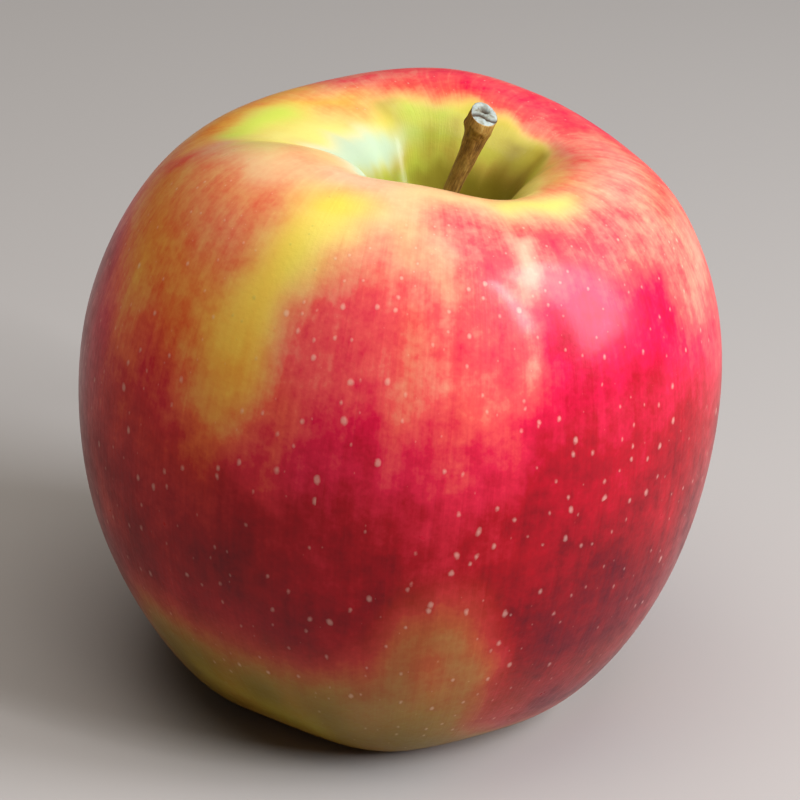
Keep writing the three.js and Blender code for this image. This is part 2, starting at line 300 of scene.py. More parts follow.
# Each stroke: path, half width and soft edge in millimetres, strength, colour
STROKES = [
    # Rings from the cavity down to the basin, with painted shade in the cavity and towards the heel and
    # basin, and the deep red low down made darker as painted shade
    (ring(0.61), 9, 12, 1, dict(blush=0.94, yellow=0.6, dots=0.8)),
    (ring(0.56), 7, 10, 1, dict(blush=0.96, yellow=0.5, dots=1.0)),
    (ring(0.49), 5, 12, 1, dict(blush=0.66, yellow=0.35, dots=0.9)),
    (ring(0.41), 7, 12, 1, dict(blush=0.44, yellow=0.3, dots=0.8)),
    (ring(0.33), 6, 10, 1, dict(blush=0.28, yellow=0.3, dots=0.6)),
    (ring(0.25), 5, 9, 1, dict(blush=0.10, yellow=0.6, dots=0.3)),
    (ring(0.215), 3, 8, 1, dict(blush=0.0, yellow=0.95, green=0.6, painted_shade=0.35)),
    (ring(0.12), 13, 10, 1, dict(blush=0.0, yellow=1.0, green=0.85, painted_shade=0.65, dots=0.2)),
    (ring(0.03), 6, 7, 1, dict(russet=0.8)),
    (ring(0.70), 8, 12, 1, dict(blush=0.34, yellow=0.95, green=0.2, painted_shade=0.8, dots=0.9)),
    (ring(0.90), 24, 20, 1, dict(blush=0.10, yellow=0.9, green=0.5, painted_shade=0.45, dots=0.7)),
    ([(-60, .80), (-20, .79), (60, .80)], 2, 14, 0.5, dict(blush=0.32, green=0.2)),
    ([(120, .79), (170, .80), (-150, .80)], 2, 14, 0.4, dict(blush=0.30, green=0.2)),
    (ring(0.97), 5, 6, 1, dict(russet=0.6)),
    # Back
    ([(140, .44), (150, .60)], 12, 18, 0.8, dict(blush=0.74, yellow=0.5)),
    ([(55, .39), (95, .44), (70, .60)], 15, 20, 0.95, dict(blush=0.86, yellow=0.1)),
    ([(15, .44), (12, .54)], 6, 14, 0.8, dict(blush=0.55, yellow=0.3)),
    ([(170, .42), (168, .52)], 3, 12, 0.7, dict(blush=0.32, yellow=1.0)),
    ([(118, .40), (116, .50)], 2.5, 11, 0.7, dict(blush=0.38, yellow=0.9)),
    ([(84, .42), (86, .52)], 2, 9, 0.6, dict(blush=0.55, yellow=0.3)),
    ([(38, .44), (36, .55)], 2, 9, 0.5, dict(blush=0.50, yellow=0.3)),
    # Far rim, and its slope into the cavity, with painted shade on the cavity's walls
    ([(120, .325), (95, .32), (70, .315), (45, .315)], 2.6, 9, 0.95, dict(blush=0.53, yellow=0.0)),
    ([(110, .355), (70, .345), (35, .35)], 2, 6, 0.9, dict(blush=0.41, yellow=0.0)),
    ([(38, .29), (26, .28), (14, .28)], 3.5, 7, 0.95, dict(blush=0.38, yellow=0.1)),
    ([(125, .29), (140, .31), (155, .35), (-178, .365)], 2.5, 7, 0.9, dict(blush=0.20, yellow=1.0)),
    ([(131, .34), (146, .355), (162, .375)], 3.2, 7, 0.95, dict(blush=0.24, yellow=0.9)),
    ([(64, .24), (40, .232), (20, .225)], 2.6, 6, 0.9, dict(blush=0.04, yellow=1.0, green=0.5, painted_shade=0.55)),
    ([(136, .275), (126, .265)], 2, 6, 0.8, dict(blush=0.24, yellow=0.7, painted_shade=0.1)),
    ([(12, .255), (-10, .265), (-25, .28)], 2.5, 7, 0.9, dict(blush=0.20, yellow=0.75)),
    ([(-45, .27), (-30, .24), (-15, .225)], 3.5, 7, 0.95, dict(blush=0.0, yellow=0.75, green=0.1)),
    # Painted shade deep in the cavity and in dark stripes along its folds, between lime stripes
    ([(62, .16), (40, .165), (22, .18)], 4.5, 7, 0.9, dict(green=0.35, painted_shade=1.05)),
    ([(112, .24), (95, .245), (76, .245)], 2.0, 9, 0.9, dict(blush=0.0, yellow=1.0, green=0.75, painted_shade=0.3)),
    ([(66, .25), (52, .245), (40, .24)], 2.0, 7, 0.9, dict(blush=0.0, yellow=1.0, green=0.3, painted_shade=0.55)),
    ([(112, .26), (114, .18)], 0.9, 4, 0.75, dict(green=0.3, painted_shade=0.85)),
    ([(97, .22), (98, .15)], 1, 4, 0.7, dict(green=0.3, painted_shade=0.95)),
    ([(82, .235), (82, .15)], 0.8, 4, 0.6, dict(green=0.3, painted_shade=1.0)),
    ([(104, .25), (106, .18)], 1.0, 4, 0.8, dict(green=1.0, painted_shade=0.1)),
    ([(90, .25), (90, .19)], 0.9, 4, 0.7, dict(green=1.0, painted_shade=0.2)),
    ([(44, .23), (40, .17)], 0.9, 4, 0.7, dict(green=0.2, painted_shade=1.1)),
    ([(28, .235), (24, .19)], 0.8, 4, 0.7, dict(blush=0.1, green=0.0, painted_shade=0.95)),
    # Left shoulder
    ([(-170, .285), (170, .285), (150, .27)], 3.5, 7, 0.95, dict(blush=0.0, yellow=0.6, green=0.35, painted_shade=0)),
    ([(152, .31), (164, .32), (178, .325)], 3.2, 6, 0.9, dict(blush=0.0, yellow=0.8, green=0.9)),
    ([(-172, .30), (-150, .315)], 3, 7, 0.9, dict(blush=0.05, yellow=0.7, green=0.3)),
    ([(-150, .275), (-132, .28)], 3, 7, 0.9, dict(blush=0.06, yellow=0.5)),
    # Painted sky reflection: pale blue-green on the cavity's left wall
    ([(-125, .25), (-150, .235), (-175, .24), (155, .225), (140, .21)], 3, 6, 0.9,
     dict(blush=0.0, yellow=0.2, painted_sky_reflection=0.95, painted_shade=0.1)),
    ([(152, .24), (138, .232), (126, .215)], 2.6, 6, 0.9,
     dict(blush=0.0, yellow=0.2, painted_sky_reflection=0.95, painted_shade=0.15)),
    # Left side
    ([(168, .37), (-175, .40), (-155, .41)], 5, 10, 0.95, dict(blush=0.40, yellow=1.0)),
    ([(-158, .44), (-140, .45), (-127, .46)], 6, 10, 0.95, dict(blush=0.42, yellow=0.9)),
    ([(-148, .385), (-132, .38)], 4, 9, 0.9, dict(blush=0.27, yellow=0.6)),
    ([(-151, .44), (-149, .50)], 1.6, 6, 0.7, dict(blush=0.26, yellow=1.0)),
    ([(-142, .33), (-122, .33)], 4.5, 9, 0.9, dict(blush=0.14, yellow=0.35)),
    ([(-143, .37), (-138, .42)], 1.4, 6, 0.6, dict(blush=0.42, yellow=0.6)),
    ([(-128, .37), (-126, .42)], 1.4, 5, 0.6, dict(blush=0.44, yellow=0.6)),
    # Peach crest at the front
    ([(-112, .29), (-90, .295)], 4, 7, 0.95, dict(blush=0.12, yellow=0.15)),
    ([(-88, .305), (-72, .305)], 4, 8, 0.95, dict(blush=0.07, yellow=0.4)),
    ([(-100, .35), (-88, .355), (-80, .345)], 4.5, 8, 0.95, dict(blush=0.16, yellow=0.35)),
    ([(-98, .395), (-84, .40)], 3, 9, 0.9, dict(blush=0.31, yellow=0.3)),
    ([(-92, .36), (-91, .40)], 1, 4, 0.5, dict(blush=0.22, yellow=0.5)),
    # Upper right
    ([(-78, .35), (-72, .39)], 3.5, 7, 0.95, dict(blush=0.46, yellow=0.0)),
    ([(-57, .31), (-50, .315), (-44, .32)], 2.4, 6, 0.95, dict(blush=0.0, yellow=0.7, green=0.3)),
    ([(-62, .38), (-46, .38), (-37, .37)], 5, 9, 0.95, dict(blush=0.51, yellow=0.0)),
    # Right side
    ([(-22, .35), (-10, .34), (15, .33)], 4, 8, 0.95, dict(blush=0.34, yellow=0.0)),
    ([(-25, .40), (-20, .44), (-8, .42)], 5, 6, 0.95, dict(blush=0.38, yellow=0.1)),
    ([(-27, .475), (-14, .48)], 2.5, 7, 0.8, dict(blush=0.58, yellow=0.0)),
    # Red centre
    ([(-103, .435), (-88, .43), (-74, .425)], 4, 8, 1, dict(blush=0.47, yellow=0.1, dots=1.0)),
    ([(-106, .47), (-90, .475), (-74, .475)], 5, 10, 1, dict(blush=0.52, yellow=0.15, dots=1.0)),
    ([(-77, .45), (-70, .455)], 2.5, 8, 0.7, dict(blush=0.56, yellow=0.0)),
    ([(-105, .525), (-95, .53)], 2.5, 9, 0.8, dict(blush=0.76, yellow=0.3)),
    ([(-104, .515), (-86, .515), (-68, .515)], 2.5, 12, 0.95, dict(blush=0.73, yellow=0.2, dots=1.0)),
    # Painted highlight: a thin, paler upright streak beside the window's sheen
    ([(-63, .365), (-64.5, .41), (-66, .455)], 1.2, 4, 0.9, dict(blush=0.08, yellow=0.0)),
    ([(-90, .44), (-89, .49)], 1.0, 5, 0.5, dict(blush=0.40, yellow=0.5)),
    # Crimson on the right, made darker low down as painted shade
    ([(-56, .44), (-46, .45), (-38, .455)], 6, 7, 1, dict(blush=0.77, yellow=0.0, dots=1.0)),
    ([(-60, .525), (-44, .53), (-30, .53)], 6.5, 11, 1, dict(blush=0.96, yellow=0.0, dots=1.0)),
    ([(-22, .55), (-6, .54), (10, .56)], 5, 18, 0.9, dict(blush=0.97, yellow=0.5, dots=1.0)),
    ([(-54, .60), (-40, .60), (-20, .60)], 6, 12, 1, dict(blush=1.13, yellow=0.0, dots=1.0)),
    ([(-60, .655), (-40, .67), (-20, .66)], 5, 9, 1, dict(blush=1.14, yellow=0.0, painted_shade=0.0)),
    # Dark band of deep red, made darker as painted shade towards the bottom
    ([(176, .52), (-174, .48), (-166, .54), (-152, .62)], 5, 16, 0.95, dict(blush=0.90, yellow=1.0)),
    ([(-150, .52), (-138, .525), (-124, .53)], 3, 10, 0.9, dict(blush=0.72, yellow=1.0)),
    ([(-150, .575), (-125, .575), (-98, .58)], 4, 13, 1, dict(blush=0.94, yellow=0.95, dots=0.8)),
    ([(-104, .575), (-88, .57), (-68, .56)], 3, 12, 1, dict(blush=0.99, yellow=0.5, dots=1.0)),
    ([(-126, .525), (-122, .54)], 1.5, 6, 0.6, dict(blush=0.58, yellow=1.0)),
    ([(-154, .54), (-150, .58)], 1.4, 6, 0.6, dict(blush=0.62, yellow=0.9)),
    # Darker and lighter tongues between the two
    ([(-99, .515), (-101, .56)], 1.4, 8, 0.6, dict(blush=0.86, yellow=0.3)),
    ([(-93, .49), (-94, .55)], 1.0, 5, 0.5, dict(blush=0.84, yellow=0.3)),
    ([(-86, .50), (-87, .55)], 1.2, 6, 0.5, dict(blush=0.76, yellow=0.2)),
    ([(-136, .49), (-137, .53)], 1.0, 6, 0.5, dict(blush=0.70, yellow=0.9)),
    ([(-80, .49), (-80, .55)], 1.6, 7, 0.5, dict(blush=0.58, yellow=0.4)),
    ([(-110, .49), (-112, .53)], 1.1, 6, 0.55, dict(blush=0.52, yellow=0.8)),
    ([(-69, .50), (-71, .545)], 1.1, 5, 0.5, dict(blush=0.58, yellow=0.6)),
    ([(-144, .50), (-145, .54)], 0.9, 5, 0.5, dict(blush=0.50, yellow=1.0)),
    # Yellow patch
    ([(-110.5, .355), (-113, .39), (-116, .42), (-120, .46)], 4.2, 8, 1,
     dict(blush=0.08, yellow=1.0, dots=0.8)),
    ([(-109, .355), (-111, .39), (-113, .42)], 1.5, 6, 0.8, dict(blush=0.0, green=0.25)),
    ([(-119, .475), (-122, .50)], 2.8, 8, 0.85, dict(blush=0.24, yellow=1.0)),
    # Heel: olive and dusty red, with painted shade towards the bottom
    ([(-152, .655), (-142, .665)], 3, 10, 0.8, dict(blush=0.75, yellow=0.9, painted_shade=0.5)),
    ([(-140, .66), (-122, .66), (-100, .668), (-80, .675)], 5.2, 11, 0.95,
     dict(blush=0.16, yellow=1.0, green=0.25, painted_shade=1.05)),
    ([(-90, .65), (-83, .60), (-77, .60), (-73, .65)], 4.2, 8, 0.9, dict(blush=0.36, yellow=0.6, painted_shade=0.74)),
    ([(-125, .63), (-127, .68)], 1.0, 6, 0.5, dict(blush=0.6, painted_shade=0.5)),
    ([(-107, .63), (-107, .665)], 1.4, 7, 0.5, dict(blush=0.6, painted_shade=0.5)),
    ([(-134, .665), (-120, .68), (-104, .69)], 1.6, 6, 0.6, dict(blush=0.05, green=0.4, painted_shade=0.6)),
    ([(-66, .67), (-60, .665)], 2.5, 9, 0.8, dict(blush=0.7, yellow=0.5, painted_shade=0.5)),
]


def paint(angle, along, radius):
    """Blush, yellow, green, painted sky reflection, painted shade, russet and dots at each point of the skin.
    """
    painted = {name: np.full(np.shape(angle), value) for name, value in BASE_COLOUR.items()}
    reach = 0.003 * ripple(angle, along, 90, 12, 11) + 0.007 * ripple(angle, along, 40, 26, 14)
    sway = 2.0 * ripple(angle, along, 30, 22, 13) + 1.2 * ripple(angle, along, 70, 50, 15)
    for path, width, soft, strength, values in STROKES:
        off = distance_to(path, angle + np.radians(sway), along + reach, radius)
        cover = strength * (1 - smooth((off - width + soft / 2) / soft))
        for name, value in values.items():
            painted[name] += (value - painted[name]) * cover
    return painted


def fine_relief(angle, along):
    """Millimetres by which the skin stands off the smooth form: low dents and faint ribs."""
    dents = 0.07 * ripple(angle, along, 16, 11, 31) + 0.03 * ripple(angle, along, 34, 24, 32)
    ribs = 0.03 * ripple(angle, along, 40, 5, 33)
    away_from_ends = smooth((along - 0.03) / 0.08) * smooth((0.97 - along) / 0.08)
    clear_of_rest = smooth(np.abs(along - 0.76) / 0.09)
    return (dents + ribs) * away_from_ends * clear_of_rest


def make_fruit():
    along = np.linspace(0, 1, ALONG + 1)[1:-1]
    angle = np.linspace(0, 2 * np.pi, AROUND, endpoint=False)
    t, a = np.meshgrid(along, angle, indexing="ij")
    points = fruit_surface(a, t)
    top = fruit_surface(np.zeros(1), np.zeros(1))
    bottom = fruit_surface(np.zeros(1), np.ones(1))
    low, high = points.reshape(-1, 3).min(0), points.reshape(-1, 3).max(0)
    box_low, box_high = (np.array(corner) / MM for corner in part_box("fruit"))
    shift = (box_low + box_high - low - high) / 2
    shift[2] = 0

    by_angle = np.roll(points, -1, 1) - np.roll(points, 1, 1)
    by_along = np.gradient(points, axis=0)
    normal = np.cross(by_along, by_angle)
    normal /= np.linalg.norm(normal, axis=-1, keepdims=True)
    points = points + normal * fine_relief(a, t)[..., None]
    points[..., 2] = np.maximum(points[..., 2], 0)
    vertices = np.vstack([points.reshape(-1, 3), top, bottom]) + shift

    rows = len(along)
    first, last = rows * AROUND, rows * AROUND + 1
    columns = np.arange(AROUND)
    faces = [tuple(f) for f in grid_faces(rows, AROUND)]
    faces += [(first, i, (i + 1) % AROUND) for i in columns]
    base = (rows - 1) * AROUND
    faces += [(last, base + (i + 1) % AROUND, base + i) for i in columns]
    obj = mesh_object("fruit_skin", vertices * MM, faces)

    every_angle = np.append(a.ravel(), [0, 0])
    every_along = np.append(t.ravel(), [0, 1])
    radius = np.append(outline(t.ravel())[0], [0, 0])
    for name, values in paint(every_angle, every_along, radius).items():
        set_values(obj.data, name, values)
    round_axis = np.stack([np.cos(every_angle), np.sin(every_angle), every_along], -1)
    set_values(obj.data, "round_axis", round_axis)
    add_skin_map(obj.data, every_angle, every_along, first)
    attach(obj, "root")
    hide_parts("fruit")
    return obj, shift


def add_skin_map(mesh, angle, along, first_pole):
    """The skin laid out flat: round the axis across and the outline down, with the seam at the back."""
    corner = np.empty(len(mesh.loops), int)
    mesh.loops.foreach_get("vertex_index", corner)
    share = ((angle - math.radians(SEAM_AZIMUTH)) / (2 * np.pi)) % 1
    across = share[corner]
    starts = np.array([p.loop_start for p in mesh.polygons])
    counts = np.array([p.loop_total for p in mesh.polygons])
    face = np.repeat(np.arange(len(starts)), counts)
    pole = corner >= first_pole

    # Faces over the seam run on past 1
    inner = np.where(pole, 0.5, across)
    has_high, has_low = np.zeros(len(starts), bool), np.zeros(len(starts), bool)
    np.logical_or.at(has_high, face, inner > 0.75)
    np.logical_or.at(has_low, face, inner < 0.25)
    wraps = (has_high & has_low)[face]
    across = np.where(wraps & (across < 0.25) & ~pole, across + 1, across)

    # A pole stands in the middle of its face's other corners
    sums = np.zeros(len(starts))
    np.add.at(sums, face, np.where(pole, 0, across))
    across = np.where(pole, sums[face] / np.maximum(counts[face] - 1, 1), across)

    flat = np.stack([across, along[corner]], -1)
    layer = mesh.uv_layers.new(name="OFBake")
    layer.data.foreach_set("uv", flat.astype(np.float32).ravel())
    round_mm = across * 2 * np.pi * LENTICEL_RADIUS
    down_mm = along[corner] * OUTLINE_LENGTH
    set_values(mesh, "skin_map", np.stack([round_mm, down_mm, 0 * down_mm], -1), "CORNER")


# Materials

def new_material(name, roughness=0.5):
    material = bpy.data.materials.new(name)
    material.use_nodes = True
    shader = material.node_tree.nodes["Principled BSDF"]
    shader.inputs["Roughness"].default_value = roughness
    return material, material.node_tree, shader


def put(tree, socket, value):
    if isinstance(value, bpy.types.NodeSocket):
        tree.links.new(value, socket)
    else:
        socket.default_value = value


def add(tree, kind, inputs, **settings):
    node = tree.nodes.new("ShaderNode" + kind)
    for name, value in settings.items():
        setattr(node, name, value)
    for name, value in inputs.items():
        put(tree, node.inputs[name], value)
    return node


def calc(tree, operation, a, b=0.0, c=0.0, clamp=False):
    inputs = {0: a, 1: b, 2: c}
    return add(tree, "Math", inputs, operation=operation, use_clamp=clamp).outputs[0]


def field(tree, name):
    return add(tree, "Attribute", {}, attribute_name=name).outputs["Fac"]


def stretched(tree, vector, scale):
    return add(tree, "VectorMath", {0: vector, 1: scale}, operation="MULTIPLY").outputs[0]


def noise(tree, vector, scale=1.0, detail=2.0, roughness=0.5):
    """Noise about zero, mostly within a quarter."""
    inputs = {"Vector": vector, "Scale": scale, "Detail": detail, "Roughness": roughness}
    return calc(tree, "SUBTRACT", add(tree, "TexNoise", inputs).outputs["Fac"], 0.5)


def total(tree, terms, start=0.0):
    """Sum of sockets, each times its weight."""
    result = start
    for socket, weight in terms:
        result = calc(tree, "MULTIPLY_ADD", socket, weight, result)
    return result


def ramp(tree, value, stops):
    node = add(tree, "ValToRGB", {"Fac": value})
    elements = node.color_ramp.elements
    elements.remove(elements[1])
    elements[0].position = stops[0][0]
    elements[0].color = (*stops[0][1], 1)
    for place, colour in stops[1:]:
        elements.new(place).color = (*colour, 1)
    return node.outputs["Color"]


def blend_colour(tree, factor, a, b):
    node = tree.nodes.new("ShaderNodeMix")
    node.data_type = "RGBA"
    for index, value in ((0, factor), (6, a), (7, b)):
        put(tree, node.inputs[index], value)
    return node.outputs[2]


def bump(tree, shader, height, depth, strength=1.0):
    """Relief of the given depth in millimetres."""
    inputs = {"Strength": strength, "Distance": depth * MM, "Height": height}
    put(tree, shader.inputs["Normal"], add(tree, "Bump", inputs).outputs["Normal"])


CREAM_TO_CRIMSON = (
    (0.0, (0.80, 0.62, 0.40)),
    (0.21, (0.79, 0.33, 0.22)),
    (0.42, (0.82, 0.080, 0.090)),
    (0.58, (0.70, 0.006, 0.058)),
    (0.75, (0.43, 0.0, 0.012)),
    (0.9, (0.23, 0.0, 0.006)),
    (1.0, (0.12, 0.0, 0.008)),
)
YELLOW_TO_RED = (
    (0.0, (0.88, 0.64, 0.09)),
    (0.21, (0.81, 0.36, 0.045)),
    (0.42, (0.72, 0.12, 0.018)),
    (0.58, (0.53, 0.022, 0.006)),
    (0.75, (0.33, 0.002, 0.003)),
    (0.9, (0.19, 0.0, 0.003)),
    (1.0, (0.10, 0.0, 0.002)),
)
RAMP_REACH = 1.2
LIME = (0.52, 0.66, 0.07, 1)
# Pale blue-green of the painted sky reflection on the cavity's left wall
PAINTED_SKY_REFLECTION = (0.46, 0.59, 0.42, 1)
# Painted shade: olive-brown mixed in deep in the cavity, along its folds and towards the heel and basin
PAINTED_SHADE_COLOUR = (0.135, 0.085, 0.003, 1)
RUSSET = (0.30, 0.19, 0.07, 1)
LENTICELS = (
    (0.0, (0.42, 0.42, 0.07)),
    (0.12, (0.50, 0.42, 0.12)),
    (0.28, (0.88, 0.62, 0.42)),
    (1.0, (0.80, 0.42, 0.36)),
)


def skin_material():
    material, tree, shader = new_material("apple_skin")
    place = add(tree, "TexCoord", {}).outputs["Object"]
    around = add(tree, "Attribute", {}, attribute_name="round_axis").outputs["Vector"]
    flat = add(tree, "Attribute", {}, attribute_name="skin_map").outputs["Vector"]
    blush = field(tree, "blush")

    streaks = noise(tree, stretched(tree, around, (26, 26, 9)), detail=2.5, roughness=0.6)
    hairs = noise(tree, stretched(tree, around, (85, 85, 17)), detail=2)
    clouds = noise(tree, place, 130, detail=3)
    mottle = noise(tree, place, 420, detail=3, roughness=0.65)
    grain = noise(tree, place, 1500, detail=2)
    lower = calc(tree, "MULTIPLY", blush, 3, clamp=True)
    upper = calc(tree, "MULTIPLY_ADD", blush, -2, 3, clamp=True)
    room = calc(tree, "MULTIPLY", lower, upper)
    uneven = total(tree, [(streaks, 0.22), (hairs, 0.06), (clouds, 0.36), (mottle, 0.34), (grain, 0.12)])
    red = calc(tree, "MULTIPLY_ADD", uneven, room, blush)
    share = calc(tree, "DIVIDE", red, RAMP_REACH, clamp=True)

    over_cream = ramp(tree, share, CREAM_TO_CRIMSON)
    over_yellow = ramp(tree, share, YELLOW_TO_RED)
    colour = blend_colour(tree, field(tree, "yellow"), over_cream, over_yellow)
    pale = calc(tree, "MULTIPLY_ADD", red, -1.3, 1, clamp=True)
    colour = blend_colour(tree, calc(tree, "MULTIPLY", field(tree, "green"), pale), colour, LIME)
    # Painted sky reflection: pale blue-green on the cavity's left wall, less where the skin is red
    colour = blend_colour(tree, calc(tree, "MULTIPLY", field(tree, "painted_sky_reflection"), pale), colour, PAINTED_SKY_REFLECTION)
    # Painted shade: darker olive-brown deep in the cavity, along its folds and towards the heel
    colour = blend_colour(tree, calc(tree, "MULTIPLY", field(tree, "painted_shade"), 0.85), colour, PAINTED_SHADE_COLOUR)
    broken = total(tree, [(streaks, 2.2), (hairs, 2.0)], 0.55)
    russet = calc(tree, "MULTIPLY", broken, field(tree, "russet"), clamp=True)
    colour = blend_colour(tree, russet, colour, RUSSET)

    cells = add(tree, "TexVoronoi", {"Vector": flat, "Scale": 0.46}, voronoi_dimensions="2D", feature="F1")
    chance = add(tree, "SeparateColor", {0: cells.outputs["Color"]}).outputs[0]
    size = calc(tree, "MULTIPLY", calc(tree, "MULTIPLY_ADD", chance, 0.24, -0.07), field(tree, "dots"))
    inside = calc(tree, "SUBTRACT", calc(tree, "MULTIPLY_ADD", mottle, 0.45, size), cells.outputs["Distance"])
    dot = calc(tree, "MULTIPLY", inside, 8, clamp=True)
    colour = blend_colour(tree, calc(tree, "MULTIPLY", dot, 0.42), colour, ramp(tree, share, LENTICELS))
    put(tree, shader.inputs["Base Color"], colour)

    dull = [(clouds, 0.12), (mottle, 0.24), (dot, 0.2), (russet, 0.25), (field(tree, "painted_sky_reflection"), 0.25)]
    put(tree, shader.inputs["Roughness"], total(tree, dull, 0.34))
    shader.inputs["IOR"].default_value = 1.21
    shader.inputs["Coat Weight"].default_value = 0.18
    shader.inputs["Coat Roughness"].default_value = 0.15
    bump(tree, shader, total(tree, [(grain, 0.7), (hairs, 0.6), (clouds, 1.2), (dot, 0.4)]), 0.05, 0.7)
    return material


# Sweeps for the stem and the calyx

def path_along(points):
    """Place and direction at each share of a smooth path through the points."""
    points = np.array(points, float)
    ends = np.vstack([2 * points[0] - points[1], points, 2 * points[-1] - points[-2]])
    u = np.linspace(0, len(points) - 1, 60 * (len(points) - 1) + 1)
    i = np.minimum(u.astype(int), len(points) - 2)
    f = (u - i)[:, None]
    a, b, c, d = ends[i], ends[i + 1], ends[i + 2], ends[i + 3]
    dense = b + 0.5 * f * (c - a + f * (2 * a - 5 * b + 4 * c - d + f * (3 * (b - c) + d - a)))
    steps = np.linalg.norm(np.diff(dense, axis=0), axis=1)
    length = np.append(0, np.cumsum(steps))
    share = length / length[-1]

    def at(where):
        return np.stack([np.interp(where, share, dense[:, k]) for k in range(3)], -1)

    def towards(where):
        step = at(np.minimum(where + 0.01, 1)) - at(np.maximum(where - 0.01, 0))
        return step / np.linalg.norm(step, axis=-1, keepdims=True)

    return at, towards, length[-1]


def frame_on(tangent):
    side = np.array([1.0, 0, 0]) - tangent * tangent[..., :1]
    side /= np.linalg.norm(side, axis=-1, keepdims=True)
    return side, np.cross(tangent, side)


def closed_sweep(name, rings, first, last):
    """A mesh of rings of points between two end points."""
    rows, columns = rings.shape[:2]
    vertices = np.vstack([rings.reshape(-1, 3), [first], [last]])
    around = np.arange(columns)
    base = (rows - 1) * columns
    faces = [tuple(f) for f in grid_faces(rows, columns)[:, ::-1]]
    faces += [(rows * columns, (i + 1) % columns, i) for i in around]
    faces += [(rows * columns + 1, base + i, base + (i + 1) % columns) for i in around]
    return mesh_object(name, vertices * MM, faces)


def with_ends(grid, first, last):
    """The values of a grid of points, and those of the two end points of its sweep."""
    return np.append(grid.ravel(), [first, last])


def make_stem(shift):
    at, towards, length = path_along(STEM_POINTS)
    shaft = np.array(STEM_OUTLINE)
    where = np.linspace(0.004, 0.985, 190)
    radius = np.interp(where, shaft[:, 0], shaft[:, 1])
    radius = np.convolve(np.pad(radius, 3, "edge"), np.ones(7) / 7, "valid")
    cap = np.linspace(1, 0, 34)[1:-1]
    rim = radius[-1]
    all_where = np.append(where, np.full(len(cap), where[-1]) + 0.012 * np.sqrt(1 - cap**2))
    all_radius = np.append(radius, rim * cap)
    on_cap = np.append(np.zeros(len(where)), np.ones(len(cap)))

    angle = np.linspace(0, 2 * np.pi, STEM_AROUND, endpoint=False)
    w, a = np.meshgrid(all_where, angle, indexing="ij")
    r = np.repeat(all_radius[:, None], STEM_AROUND, 1)
    capped = np.repeat(on_cap[:, None], STEM_AROUND, 1)
    ridges = 0.055 * ripple(a, w, 11, 5, 41) + 0.03 * ripple(a, w, 26, 22, 42)
    ridges += 0.02 * ripple(a, w, 40, 70, 43)
    swell = smooth((w - 0.86) / 0.08)
    lumps = 0.10 * ripple(a, w, 6, 16, 44) * swell
    knob = 0.30 * np.exp(-(((a - math.radians(175)) / 0.5) ** 2) - ((w - 0.905) / 0.022) ** 2)
    inward = r / np.maximum(rim, r)
    r = r + (ridges + lumps + knob) * np.where(capped > 0, inward, 1)

    tangent = towards(w)
    side, front = frame_on(tangent)
    offset = side * (r * np.cos(a))[..., None] + front * (r * np.sin(a))[..., None]
    cut = math.radians(STEM_CUT_TOWARDS)
    low_side = np.array([math.cos(cut), math.sin(cut), 0])
    down = offset @ low_side
    slant = -STEM_CUT_SLOPE * down * smooth((w - 0.82) / 0.14)

    across = offset @ np.cross([0, 0, 1], low_side)
    pit_off = np.hypot(down + 0.55, across - 0.10)
    pit = np.exp(-((pit_off / 0.48) ** 2))
    split_at = 0.62 + 0.16 * np.sin(2.3 * across) + 0.05 * ripple(a, r / 2, 9, 3, 45)
    split = np.exp(-(((down - split_at) / 0.15) ** 2))
    fibres = 0.05 * ripple(a, np.clip(r / 2.2, 0, 1), 30, 6, 46)
    ledge = smooth((down - split_at) / 0.1)
    scar = capped * smooth((rim - 0.12 - r) / 0.15 + 1)
    relief = capped * (-0.75 * pit - 0.22 * split - 0.18 * ledge + fibres) * smooth((rim - r) / 0.3 + 0.3)
    points = at(w) + offset + tangent * (slant + relief)[..., None]
    points += shift

    first = at(np.array([0.0]))[0] + shift
    middle = points[-1].mean(0)
    obj = closed_sweep("stem_bark", points, first, middle)
    set_values(obj.data, "scar", with_ends(scar, 0, 1))
    set_values(obj.data, "crack", with_ends(capped * np.clip(split + 1.3 * pit, 0, 1), 0, 0.2))
    set_values(obj.data, "up", with_ends(w, 0, 1))
    set_values(obj.data, "ridge", with_ends(ridges / 0.1, 0, 0))
    lengthwise = np.stack([np.cos(a), np.sin(a), w * length], -1).reshape(-1, 3)
    set_values(obj.data, "round_axis", np.vstack([lengthwise, [[0, 0, 0], [0, 0, length]]]))
    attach(obj, "root")
    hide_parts("stem")
    return obj


